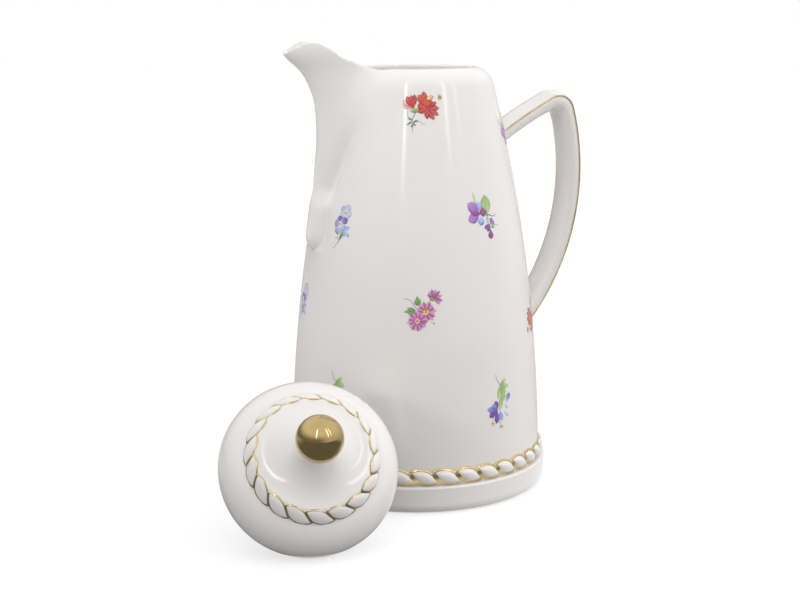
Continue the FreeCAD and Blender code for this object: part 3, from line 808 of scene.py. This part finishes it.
LID = lid_matrix()
piece("pot_shell", pot_shell(), PORCELAIN, "pot", ["pot_body", "spout"])
piece("foot_ring", foot_ring(), PORCELAIN, "pot", ["foot_plinth"])
piece("foot_wear_ring", wear_ring(), BISQUE, "pot")
piece("handle_strap", handle_strap(), PORCELAIN, "pot", ["handle"])
piece("handle_gold_near", handle_gold(-1), GILDING, "pot")
piece("handle_gold_far", handle_gold(1), GILDING, "pot")
lay_rope(["foot_rope", "foot_rope_gold"], on_foot, BASE_STRANDS, BASE_PITCH, BASE_STRAND, BASE_GOLD, "pot",
         ["base_rope", "base_rope_gilding"])
piece("lid_shell", lid_shell(), PORCELAIN, "lid", ["lid_dome"], LID)
piece("lid_seat_ring", lid_flange(), PORCELAIN, "lid", ["lid_flange"], LID)
lay_rope(["lid_rope_strands", "lid_rope_gold"], on_lid, LID_STRANDS, LID_PITCH, LID_STRAND, LID_GOLD, "lid",
         ["lid_rope", "lid_rope_gilding"], LID)
piece("knob_waist", knob_neck(), PORCELAIN, "lid", ["knob_neck"], LID)
piece("knob_ring", knob_collar(), GILDING, "lid", ["knob_collar"], LID)
piece("knob_gold_ball", knob_ball(), BALL_GOLD, "lid", ["knob_ball"], LID)


# Painted sprays

STROKE_ROWS = 9
STROKE_COLUMNS = 5
PAINT_SINK = 0.2
PAINT_LIFT = 0.04
PAINT_STEP = 0.006
EYE, HEART = 0.62, 0.22

LEAF, PALE_LEAF, DEEP_LEAF = (136, 182, 92), (200, 220, 146), (86, 130, 70)
TWIG, DARK_TWIG, BROWN_TWIG = (146, 150, 146), (44, 50, 48), (168, 128, 96)
RED, ROSE, ORANGE, BLUSH = (186, 16, 8), (208, 54, 46), (230, 66, 8), (240, 184, 176)
SKY, PALE_SKY, FROST = (138, 164, 240), (190, 202, 246), (222, 226, 248)
LILAC, VIOLET = (176, 158, 224), (98, 62, 176)
PURPLE, ORCHID, MAGENTA, PINK = (136, 60, 176), (190, 130, 212), (148, 34, 112), (206, 106, 176)
PALE_PINK, YELLOW, CREAM, OCHRE = (230, 178, 214), (246, 216, 112), (240, 236, 200), (208, 136, 62)


def light(colour):
    """A colour as a screen shows it, turned into light."""
    share = np.array(colour) / 255
    return np.where(share > 0.04045, ((share + 0.055) / 1.055) ** 2.4, share / 12.92)


def rotated(x, y, heading):
    """Places turned by degrees."""
    turn = radians(heading)
    return cos(turn) * x - sin(turn) * y, sin(turn) * x + cos(turn) * y


def stroke(base, heading, length, width, near, far, fullness=1.5, bend=0):
    """One brush stroke from its base, heading in degrees: its points and their colours."""
    rows, columns = np.linspace(0, 1, STROKE_ROWS), np.linspace(-1, 1, STROKE_COLUMNS)
    along, across = np.meshgrid(rows, columns, indexing="ij")
    swell = np.sin(pi * np.clip(along, 0.02, 0.98) ** fullness) ** 0.75
    side = 0.5 * width * swell * across + bend * length * along ** 2
    x, y = rotated(length * along, side, heading)
    edge = 1 - 0.30 * np.abs(across) ** 3
    colours = light(near) + (light(far) - light(near)) * along[..., None]
    return np.stack([base[0] + x, base[1] + y], axis=-1), colours * edge[..., None]


def dot(centre, width, height, near, far):
    """A round dab, wide and high as given."""
    return stroke((centre[0], centre[1] - height / 2), 90, height, width, near, far, 1)


def vine(route, width, colour):
    """A thin stem through some points that tapers towards its end."""
    known = np.linspace(0, 1, len(route))
    share = np.linspace(0, 1, 2 * STROKE_ROWS)
    line = np.stack([through(list(zip(known, axis)), share) for axis in zip(*route)], axis=1)
    ahead = np.gradient(line, axis=0)
    side = unit(np.stack([-ahead[:, 1], ahead[:, 0]], axis=1))
    half = (0.5 * width * (1 - 0.65 * share))[:, None, None]
    points = line[:, None, :] + side[:, None, :] * half * np.linspace(-1, 1, 3)[None, :, None]
    return points, np.broadcast_to(light(colour), (*points.shape[:2], 3))


def blossom(centre, radius, petals, turn, near, far, eye, heart):
    """An open flower: petals in turn with a pale eye and a small dark heart."""
    strokes = []
    for k in range(petals):
        heading = turn + 360 * k / petals
        away = radians(heading)
        base = (centre[0] + 0.15 * radius * cos(away), centre[1] + 0.15 * radius * sin(away))
        reach = radius * (0.80 + 0.10 * cos(2.3 * k))
        width = 6.4 * radius / (petals + 3.2)
        strokes.append(stroke(base, heading, reach, width, near[k % len(near)], far[k % len(far)]))
    for size, colour in ((EYE * radius, eye), (HEART * radius, heart)):
        strokes.append(dot(centre, size, size, colour, colour))
    return strokes


def fan(base, rows, *shared):
    """Strokes from one base: its row and what all share say the rest of a stroke."""
    return [stroke(base, *row, *shared) for row in rows]


def red_spray():
    """Two red flowers, a yellow bud and dark leaflets on a grey stem."""
    leaflets = [((-3.9, -5.9), 24, 2.8), ((-3.9, -6.3), -48, 2), ((-4.4, -5.6), 212, 3.2),
                ((-4.4, -5), 146, 2.6), ((-4.2, -7), 250, 1.6)]
    sepals = [(20, 4.2), (58, 3.4), (96, 3), (132, 3.2), (158, 3)]
    left = [(166, 5.6, 2.6, BLUSH, BLUSH), (146, 6.6, 3, ROSE, BLUSH), (124, 6.8, 3.4, RED, ROSE),
            (104, 6.4, 3.2, RED, ROSE), (86, 6.6, 2.8, RED, RED)]
    right = [(-84, 6, 2.4, ROSE, RED), (-58, 7.4, 2.8, RED, ROSE), (-34, 7.4, 2.6, RED, ROSE),
             (-8, 6.8, 2.6, RED, ROSE), (20, 5.8, 2.4, RED, RED), (52, 4.6, 2.8, ORANGE, RED),
             (218, 4.6, 3.4, ORANGE, RED), (172, 4.2, 3.2, ORANGE, RED), (122, 6.8, 3.6, RED, ORANGE),
             (98, 7.4, 3.4, ORANGE, RED)]
    return [
        vine([(-2.6, -1), (-4.2, -4.6), (-4, -8), (-4.3, -11)], 0.55, TWIG),
        vine([(-4.2, -4.8), (-6.4, -3), (-7, 0.4)], 0.35, TWIG),
        vine([(-4, -6), (-0.6, -5.6), (0.6, -6.8), (2.6, -6.2)], 0.4, TWIG),
        *[stroke(*leaflet, 0.9, DARK_TWIG, TWIG, 0.9) for leaflet in leaflets],
        *fan((-3, -1.2), sepals, 1.1, DEEP_LEAF, PALE_LEAF, 1),
        *fan((-3.6, 0.9), left),
        *fan((2.4, 1.6), right),
        stroke((3, 5.2), 22, 3.8, 2.2, YELLOW, OCHRE, 1),
        stroke((3.2, 5.5), 20, 2.8, 1.1, CREAM, YELLOW, 1),
        stroke((9.2, 4.8), 84, 2.8, 0.8, OCHRE, BROWN_TWIG, 1),
        dot((10.3, 6), 0.9, 2.2, OCHRE, OCHRE),
    ]


def blue_spray():
    """Two five-petalled blue flowers, a bud and small leaves."""
    near, far = [LILAC, LILAC, LILAC, FROST, FROST], [VIOLET, VIOLET, LILAC, SKY, SKY]
    return [
        vine([(0.6, -1), (-1.4, -6.8), (-3, -9), (-5.4, -11.8)], 0.6, TWIG),
        vine([(-2.2, -7.4), (-3.4, -5.8), (-4.8, -6.8)], 0.5, TWIG),
        vine([(-1, -5.6), (0.8, -2.6), (2.2, -0.4)], 0.5, LEAF),
        stroke((-2.8, -4.6), 128, 4.4, 2.4, DEEP_LEAF, PALE_LEAF, 1.1),
        stroke((-1.6, -7), 66, 5, 1.9, DEEP_LEAF, LEAF, 1),
        *[stroke((2.8, -2.6), heading, 3, 1.7, FROST, SKY) for heading in (70, 118, 176, 230, 300)],
        *blossom((1, 6.6), 4.6, 5, 62, [FROST], [PALE_SKY, LILAC], CREAM, DEEP_LEAF),
        *blossom((-1.8, 0.8), 4.8, 5, 34, near, far, CREAM, BROWN_TWIG),
    ]


def purple_spray():
    """A purple pea flower with blue petals, a magenta bud, a broad leaf and a small side twig."""
    side_petals = [(206, 3.84, 2, PURPLE, VIOLET), (236, 3.6, 2, PURPLE, MAGENTA),
                   (62, 2.88, 2, ORCHID, PURPLE), (20, 2.64, 2, LILAC, PURPLE)]
    return [
        stroke((-2.6, 4.4), 108, 6, 1.2, PALE_LEAF, PALE_LEAF, 1, -0.06),
        stroke((2.8, 0), 92, 8.4, 6, PALE_LEAF, LEAF, 1.1),
        vine([(2.8, 0.6), (2.7, 4), (2.5, 7.4)], 0.35, DEEP_LEAF),
        vine([(2.4, -0.4), (4.2, -0.2), (6.4, -1), (8.4, -0.3)], 0.5, DARK_TWIG),
        vine([(3, -0.4), (2.9, -3), (3.6, -6), (4, -7.4)], 0.5, DEEP_LEAF),
        vine([(4.6, -5.4), (7, -4.6), (9.6, -5.4)], 0.4, TWIG),
        stroke((2.6, -3.6), 80, 3.2, 1.2, PALE_LEAF, LEAF, 1),
        *fan((4.2, -4.2), side_petals),
        stroke((4.4, -5.8), 8, 2.6, 0.9, LEAF, LEAF, 1),
        stroke((4, -6.4), 268, 4.2, 3, PURPLE, MAGENTA),
        stroke((-0.3, -0.4), 258, 4, 3.4, PALE_SKY, SKY, 1.3),
        dot((-0.5, -3.6), 1.3, 1.3, VIOLET, SKY),
        dot((-1.2, 4.2), 2.9, 3.8, SKY, PALE_SKY),
        stroke((-1.2, 0.6), 140, 7.6, 4.8, PURPLE, ORCHID),
        stroke((-1.2, 0.6), 204, 6.6, 4.4, PURPLE, ORCHID),
        stroke((-1.2, 0.7), 172, 4.8, 2.2, MAGENTA, PURPLE, 1.2),
        dot((0.7, 1.2), 3.8, 3.8, PURPLE, MAGENTA),
    ]


def pink_spray():
    """Two pink daisies, a thistle bud and two leaves."""
    bud = [(150, 3.4, PINK), (124, 4, PALE_PINK), (98, 4.4, PINK), (72, 4.6, PALE_PINK),
           (44, 4.8, PINK), (14, 4.9, PALE_PINK), (-18, 5, PINK), (-42, 4.8, PALE_PINK)]
    return [
        vine([(-1.8, 0.8), (-3.4, 2.6), (-5.4, 5.2), (-8.8, 6)], 0.6, TWIG),
        vine([(1.6, 2.6), (4, 4.4), (5.6, 5.6)], 0.5, LEAF),
        vine([(3.6, -3.4), (5.2, -3.4), (6.4, -4.6)], 0.5, BROWN_TWIG),
        dot((6.4, -6.4), 1, 0.9, TWIG, TWIG),
        dot((5.4, -5.6), 0.6, 0.6, TWIG, TWIG),
        *fan((-1.4, 2.4), [(96, 4.9), (74, 3.6), (122, 3.4)], 1.9, DEEP_LEAF, LEAF, 1.1),
        *fan((-2.6, 0.2), [(188, 5.8), (166, 4.4), (208, 4.2)], 1.9, DEEP_LEAF, LEAF, 1.1),
        *fan((5.2, 4.9), [(64, 2.6), (104, 2.4), (20, 2.8)], 1.4, DEEP_LEAF, PALE_LEAF, 1),
        *[stroke((6.2, 6.2), heading, length, 1.5, MAGENTA, far) for heading, length, far in bud],
        *blossom((2.5, -0.6), 5.2, 19, 8, [PINK, MAGENTA], [PALE_PINK, PINK], YELLOW, OCHRE),
        dot((2.4, 0.9), 2, 1.8, BROWN_TWIG, OCHRE),
        *blossom((-1.8, -5), 4.9, 21, 0, [MAGENTA, PINK], [PINK, PALE_PINK], BLUSH, BROWN_TWIG),
    ]


def bell_spray():
    """Hanging violet bells with orange dabs under a leafy stem."""
    leaves = [((0.5, 9.6), 312, 5.4, 1.9), ((0.6, 9.6), 346, 5.4, 2.4), ((0.6, 9.8), 32, 4.4, 1.6),
              ((0.6, 9.6), 256, 6.6, 2.4), ((1.6, 8.6), 282, 6.4, 2.3), ((1.9, 5.4), 252, 8, 2.6)]
    blue = [(252, 5, 2.2, SKY, PALE_SKY), (284, 4.6, 2.2, SKY, PALE_SKY), (266, 4.2, 2.2, SKY, SKY)]
    violet = [(264, 6.4, 2.4, PURPLE, VIOLET), (172, 5.8, 2.8, VIOLET, SKY), (212, 5.4, 3, PURPLE, VIOLET),
              (104, 4.2, 2.6, VIOLET, VIOLET), (140, 4, 2.6, VIOLET, SKY)]
    return [
        vine([(0.6, 9.4), (-1.2, 12), (-2.4, 14.8)], 0.5, TWIG),
        vine([(2, 7), (3.2, 5), (4.6, 2.2)], 0.4, LEAF),
        *[stroke(*leaf, LEAF, PALE_LEAF, 1) for leaf in leaves],
        stroke((4.2, 1), 62, 4.6, 2.6, PALE_SKY, VIOLET),
        stroke((3, 0.4), 310, 3, 1.2, PALE_SKY, PALE_SKY),
        stroke((2.2, -2.8), 318, 4.4, 1, PALE_SKY, PALE_SKY),
        stroke((-4, -4), 262, 3, 0.6, PALE_LEAF, CREAM, 1),
        dot((0.2, -6.8), 2, 3.4, CREAM, CREAM),
        *fan((0.1, -2.4), blue),
        *fan((-1.8, -1.4), violet),
        dot((-4.5, -7.8), 1.7, 1.5, CREAM, OCHRE),
        dot((-4.9, -7.1), 0.7, 0.7, OCHRE, OCHRE),
        dot((0.6, -9.8), 2, 1.5, CREAM, OCHRE),
        dot((0.2, -9.1), 0.7, 0.7, OCHRE, OCHRE),
    ]


def lay_spray(name, strokes, bearing, height, lean, scale):
    """Lays strokes on the glaze round a bearing and height, each a thin closed slab over the last."""
    middle = radians(bearing)
    vertices, faces, colours = [], [], []
    for number, (points, shades) in enumerate(strokes):
        rows, columns = points.shape[:2]
        x, y = rotated(scale * points[..., 0], scale * points[..., 1], lean)
        around_pot = middle + x / float(shell_radius(middle, height))
        level = height + y
        glaze = shell_radius(around_pot, level)
        start = len(vertices)
        below = start + rows * columns
        for radius in (glaze + PAINT_LIFT + PAINT_STEP * number, glaze - PAINT_SINK):
            grid = np.stack([-radius * np.cos(around_pot), -radius * np.sin(around_pot), level], axis=-1)
            vertices.extend(tuple(p) for p in grid.reshape(-1, 3))
            colours.extend(np.asarray(shades).reshape(-1, 3))
        for quad in grid_faces(rows, columns):
            faces.append(tuple(start + i for i in quad))
            faces.append(tuple(below + i for i in reversed(quad)))
        index = np.arange(rows * columns).reshape(rows, columns)
        edge = np.concatenate([index[0], index[1:, -1], index[-1, -2::-1], index[-2:0:-1, 0]]).tolist()
        for k, n in zip(edge, edge[1:] + edge[:1]):
            faces.append((start + n, start + k, below + k, below + n))
    made = piece(name, (vertices, faces), ENAMEL, "pot")
    layer = made.data.color_attributes.new("paint", "FLOAT_COLOR", "POINT")
    layer.data.foreach_set("color", np.hstack([np.array(colours), np.ones((len(colours), 1))]).ravel())


SPRAY_SCALE = {red_spray: 1, blue_spray: 1, purple_spray: 1.15, pink_spray: 1, bell_spray: 1.12}
SPRAYS = [
    (red_spray, 69.7, 200.6, 0), (purple_spray, 150, 187.6, 40), (blue_spray, 24.9, 142.6, 0),
    (purple_spray, 104, 148.3, 0), (blue_spray, -5.5, 99.3, -8), (pink_spray, 68.6, 103.1, 0),
    (red_spray, 144, 91.4, 180), (bell_spray, 26.9, 53.5, 0), (bell_spray, 107.3, 51.3, 0),
    (pink_spray, 226, 195, -10), (blue_spray, 288, 197, 8), (red_spray, 208, 148, -6),
    (bell_spray, 262, 150, 6), (pink_spray, 326, 118, 12), (purple_spray, 216, 98, -14),
    (red_spray, 288, 98, 8), (blue_spray, 180, 44, 10), (pink_spray, 246, 52, -6),
    (bell_spray, 322, 56, 0),
]
for number, (spray, bearing, height, lean) in enumerate(SPRAYS):
    lay_spray(f"flower_spray_{number + 1}", spray(), bearing, height, lean, SPRAY_SCALE[spray])


# Studio

WHITE = (1, 1, 1, 1)
MIDDLE = (0, 0, 0.12)
UPPER = (0, 0, 0.23)


def around(turn, rise, distance, height=MIDDLE[2]):
    """A place round the object by degrees right of the camera and degrees up, in metres."""
    bearing = -CAMERA_TURN + radians(turn)
    flat = distance * cos(radians(rise))
    return (flat * sin(bearing), -flat * cos(bearing), height + distance * sin(radians(rise)))


def white_for_view(tree, lit, shown):
    """Mixes what the camera, mirrors and glass are shown into what lights the object."""
    path = add_node(tree, "LightPath")
    seen = path.outputs["Is Camera Ray"]
    for other in ("Is Glossy Ray", "Is Transmission Ray"):
        inputs = {0: seen, 1: path.outputs[other]}
        seen = add_node(tree, "Math", inputs, operation="MAXIMUM").outputs[0]
    return add_node(tree, "MixShader", {0: seen, 1: lit, 2: shown}).outputs[0]


def studio_world():
    """An even white sky, plain white to the camera and in mirrors."""
    world = bpy.data.worlds.new("studio")
    bpy.context.scene.world = world
    world.use_nodes = True
    tree = world.node_tree
    sky = tree.nodes["Background"]
    feed(tree, sky, {"Color": WHITE, "Strength": SKY_STRENGTH})
    shown = add_node(tree, "Background", {"Color": WHITE, "Strength": 1})
    surface = white_for_view(tree, sky.outputs[0], shown.outputs[0])
    feed(tree, tree.nodes["World Output"], {"Surface": surface})


def studio_floor():
    """A pale floor that keeps the object's soft shadow and brightens to white away from it."""
    bpy.ops.mesh.primitive_plane_add(size=12)
    floor = bpy.context.object
    floor.name = "studio_floor"
    material, tree, shader = node_material("pale_floor")
    colour = two_colours(tree, noise(tree, 3, 2), (0.37, 0.37, 0.37), (0.39, 0.39, 0.39))
    feed(tree, shader, {"Base Color": colour, "Roughness": 0.9, "Specular IOR Level": 0})
    away = add_node(tree, "VectorMath", {0: object_place(tree)}, operation="LENGTH")
    strength = between(tree, away.outputs["Value"], FLOOR_REACH, *FLOOR_LIFT)
    lift = add_node(tree, "Emission", {"Strength": strength})
    glow = add_node(tree, "AddShader", {0: shader.outputs[0], 1: lift.outputs[0]})
    surface = white_for_view(tree, shader.outputs[0], glow.outputs[0])
    feed(tree, tree.nodes["Material Output"], {"Surface": surface})
    floor.data.materials.append(material)


def card(name, corners, brightness):
    """A studio card by rows of points in metres and their brightness, that only mirrors see."""
    mesh = bpy.data.meshes.new(name)
    mesh.from_pydata([p for row in corners for p in row], [], grid_faces(len(corners), len(corners[0])))
    levels = mesh.attributes.new("glow", "FLOAT", "POINT")
    levels.data.foreach_set("value", [level for row in brightness for level in row])
    material, tree, shader = node_material(name)
    tree.nodes.remove(shader)
    level = add_node(tree, "Attribute", attribute_name="glow")
    glow = add_node(tree, "Emission", {"Strength": level.outputs["Fac"]})
    feed(tree, tree.nodes["Material Output"], {"Surface": glow.outputs[0]})
    mesh.materials.append(material)
    made = in_scene(name, mesh)
    for ray in ("camera", "diffuse", "transmission", "volume_scatter", "shadow"):
        setattr(made, "visible_" + ray, False)


def strip(name, turn, width, low, high, brightness):
    """A bright bent strip like a tube lamp, by degrees right of the camera and degrees up."""
    rises, sides = np.linspace(low, high, 30), np.linspace(-0.5, 0.5, 5)
    corners = []
    for rise in rises:
        wide = width / max(cos(radians(rise)), 0.35)
        corners.append([around(turn + side * wide, rise, STRIP_DISTANCE) for side in sides])
    fade = ease(low, low + 14, rises) * (1 - ease(low + 26, high, rises))
    card(name, corners, 1 + (brightness - 1) * np.outer(fade, 1 - (2 * np.abs(sides)) ** 4))


def room_shade(turns):
    """How dim the room is by degrees right of the camera: dark on the left, pale on the right."""
    return ROOM_SHADE[0] + (ROOM_SHADE[1] - ROOM_SHADE[0]) * ease(-10, 55, turns)


def floor_card():
    """The floor as mirrors see it: dark in front, paler behind, as dim as the room far away."""
    turns, reaches = np.linspace(-180, 180, 72), np.linspace(FOOT_CLEAR[0], ROOM_DISTANCE, 60)
    corners = [[around(turn, 0, reach, 0.003) for turn in turns] for reach in reaches]
    near = BACK_SHADE + (FLOOR_SHADE - BACK_SHADE) * ease(105, 50, np.abs(turns))
    far = ease(0.7, 2.2, reaches)
    shade = np.outer(1 - far, near) + np.outer(far, room_shade(turns))
    card("floor_card", corners, 1 - shade * ease(*FOOT_CLEAR, reaches)[:, None])


def room_card():
    """The dim room round the studio, fading out upwards."""
    turns, rises = np.linspace(-180, 180, 72), np.linspace(-6, ROOM_TOP, 24)
    corners = [[around(turn, rise, ROOM_DISTANCE) for turn in turns] for rise in rises]
    card("room_card", corners, 1 - np.outer(ease(ROOM_TOP, 2, rises), room_shade(turns)))


def soft_lamp(name, place, target, width, height, power, spread=180):
    """A soft rectangular lamp aimed at a point, in metres, watts and degrees, that mirrors don't see."""
    data = bpy.data.lights.new(name, "AREA")
    data.shape = "RECTANGLE"
    data.size = width
    data.size_y = height
    data.energy = power
    data.spread = radians(spread)
    lamp = in_scene(name, data)
    lamp.location = place
    lamp.rotation_euler = (Vector(target) - Vector(place)).to_track_quat("-Z", "Y").to_euler()
    lamp.visible_glossy = False


def photo_camera():
    """The camera of the photograph: its place, tilt, lens and sideways shift."""
    data = bpy.data.cameras.new("photo_camera")
    data.sensor_width = SENSOR
    data.lens = FOCAL_PIXELS * SENSOR / IMAGE_WIDTH
    data.shift_x = (IMAGE_WIDTH / 2 - AXIS_COLUMN) / IMAGE_WIDTH
    ahead = Vector((sin(CAMERA_TURN), cos(CAMERA_TURN), 0))
    right = Vector((cos(CAMERA_TURN), -sin(CAMERA_TURN), 0))
    look = ahead * cos(CAMERA_PITCH) - Vector((0, 0, sin(CAMERA_PITCH)))
    camera = in_scene("photo_camera", data)
    turn = Matrix((right, right.cross(look), -look)).transposed().to_4x4()
    place = (-ahead * CAMERA_DISTANCE + Vector((0, 0, CAMERA_HEIGHT))) * MM
    camera.matrix_world = Matrix.Translation(place) @ turn
    bpy.context.scene.camera = camera


studio_world()
studio_floor()
strip("strip_left", -14, 5, 12, 60, 5.8)
strip("strip_right", 43, 5.5, 13, 60, 4.2)
strip("strip_far_right", 60, 3.4, 14, 60, 3.6)
floor_card()
room_card()
soft_lamp("top_panel", (0, 0.1, 1.6), MIDDLE, 1.6, 1.6, TOP_POWER)
soft_lamp("front_panel", around(-16, 56, 1.7), MIDDLE, 1.8, 1, FRONT_POWER)
soft_lamp("left_panel", around(-50, 16, 1.5), UPPER, 0.5, 0.2, LEFT_POWER, LEFT_SPREAD)
soft_lamp("right_panel", around(62, 22, 1.5), UPPER, 1, 0.8, RIGHT_POWER)
soft_lamp("back_panel", around(105, 18, 1.5), UPPER, 1, 0.8, BACK_POWER)
photo_camera()
bpy.context.scene.view_settings.view_transform = "Standard"
